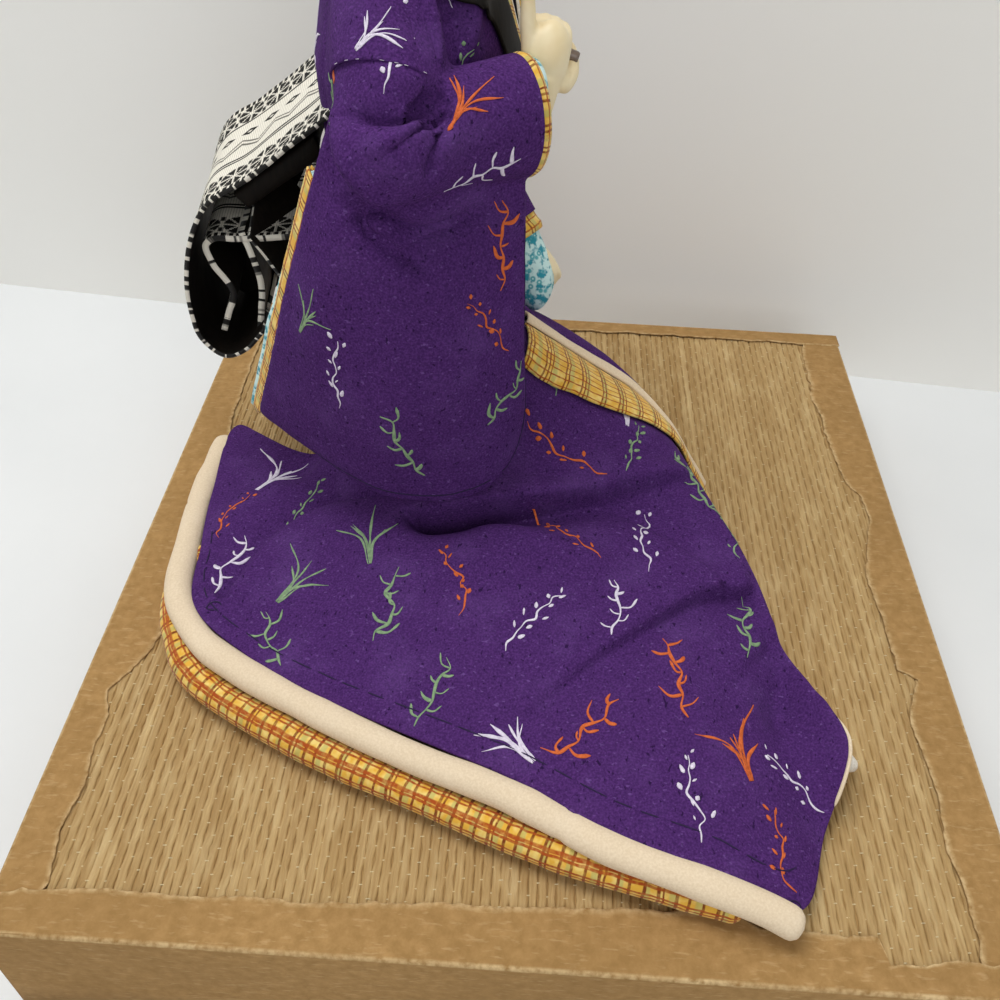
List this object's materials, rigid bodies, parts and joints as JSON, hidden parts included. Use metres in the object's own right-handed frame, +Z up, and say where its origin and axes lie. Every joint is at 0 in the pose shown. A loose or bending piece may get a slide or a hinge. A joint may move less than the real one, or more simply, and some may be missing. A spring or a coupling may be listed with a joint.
{
  "type": "geisha doll",
  "caption": "Seated display doll in a draped kimono with hanging sleeves, sash and drum bow, hairpins and comb, fixed on a rush-mat box base; head and hands turn on their stake and wires.",
  "frame": {"origin": "middle of the base's underside", "axes": "+Z up; the doll faces +X; -Y is the side seen in the picture, with the doll's right arm"},
  "size_m": [0.3, 0.323, 0.34],
  "materials": {
    "board": "plain plywood and softwood",
    "rush": "woven rush mat with pale thread",
    "kraft_paper": "brown kraft paper, torn along its inner edge",
    "steel": "bright steel",
    "padding": "cotton wadding under cloth",
    "skin": "smooth shell-white lacquer, satin",
    "hair": "combed black silk thread, glossy",
    "lacquer": "dark brown lacquer",
    "purple_crepe": "purple slubbed crepe with brush-drawn sprigs",
    "cream_crepe": "cream crepe, padded",
    "plaid_cloth": "yellow cotton with brown check lines",
    "teal_crepe": "aqua crepe with white mottling",
    "black_satin": "black satin",
    "white_cloth": "white cotton",
    "brocade": "ribbed ivory sash with black woven bands"
  },
  "bodies": {
    "doll_and_base": {"base_panel": "board", "base_side_front": "board", "base_side_back": "board", "base_side_left": "board", "base_side_right": "board", "tatami_mat": "rush", "paper_front": "kraft_paper", "paper_back": "kraft_paper", "paper_left": "kraft_paper", "paper_right": "kraft_paper", "seat_screw_1": "steel", "seat_screw_2": "steel", "seat_block": "board", "body_post": "board", "body_stuffing": "padding", "right_arm_wire": "steel", "left_arm_wire": "steel", "right_arm": "padding", "left_arm": "padding", "right_leg": "padding", "left_leg": "padding", "right_foot": "white_cloth", "kimono_bodice": "purple_crepe", "obi_band": "brocade", "collar_black": "black_satin", "collar_plaid": "plaid_cloth", "collar_white": "white_cloth", "obi_bow": "brocade", "obi_tail": "brocade", "obi_pillow": "padding", "kimono_skirt": "purple_crepe", "kimono_hem": "cream_crepe", "under_kimono_hem": "plaid_cloth", "front_panel": "purple_crepe", "front_panel_edge": "cream_crepe", "front_panel_plaid": "plaid_cloth", "right_sleeve": "purple_crepe", "right_cuff_plaid": "plaid_cloth", "right_cuff_teal": "teal_crepe", "right_sleeve_plaid": "plaid_cloth", "right_sleeve_teal": "teal_crepe", "left_sleeve": "purple_crepe", "left_cuff_plaid": "plaid_cloth", "left_cuff_teal": "teal_crepe"},
    "head": {"head": "skin", "neck_stake": "board", "hair_nape": "hair", "hair_side_right": "hair", "hair_side_left": "hair", "hair_front": "hair", "hair_topknot": "hair"},
    "comb": {"hair_comb": "lacquer"},
    "pin_right": {"hairpin_right": "lacquer"},
    "pin_left": {"hairpin_left": "lacquer"},
    "hand_right": {"right_hand": "skin"},
    "hand_left": {"left_hand": "skin"},
    "stick": {"held_stick": "lacquer"}
  },
  "joints": [
    {"name": "head_turn", "type": "hinge", "parent": "doll_and_base", "child": "head", "pos_m": [-0.041, 0.048, 0.255], "axis": [0, 0, 1], "range_deg": [-30, 30]},
    {"name": "comb_slide", "type": "slide", "parent": "head", "child": "comb", "axis": [0, 0, 1], "range_m": [0, 0.012]},
    {"name": "pin_right_slide", "type": "slide", "parent": "head", "child": "pin_right", "axis": [-0.0999, -0.9786, 0.1798], "range_m": [0, 0.03]},
    {"name": "pin_left_slide", "type": "slide", "parent": "head", "child": "pin_left", "axis": [-0.0999, 0.9786, 0.1798], "range_m": [0, 0.03]},
    {"name": "wrist_right_turn", "type": "hinge", "parent": "doll_and_base", "child": "hand_right", "pos_m": [-0.008, 0.0145, 0.216], "axis": [0.1701, 0.2201, 0.9605], "range_deg": [-20, 20]},
    {"name": "wrist_left_turn", "type": "hinge", "parent": "doll_and_base", "child": "hand_left", "pos_m": [-0.013, 0.088, 0.138], "axis": [0.6222, -0.3011, -0.7226], "range_deg": [-20, 20]},
    {"name": "stick_slide", "type": "slide", "parent": "hand_right", "child": "stick", "axis": [0.9524, -0.0501, -0.3008], "range_m": [0, 0.008]}
  ]
}
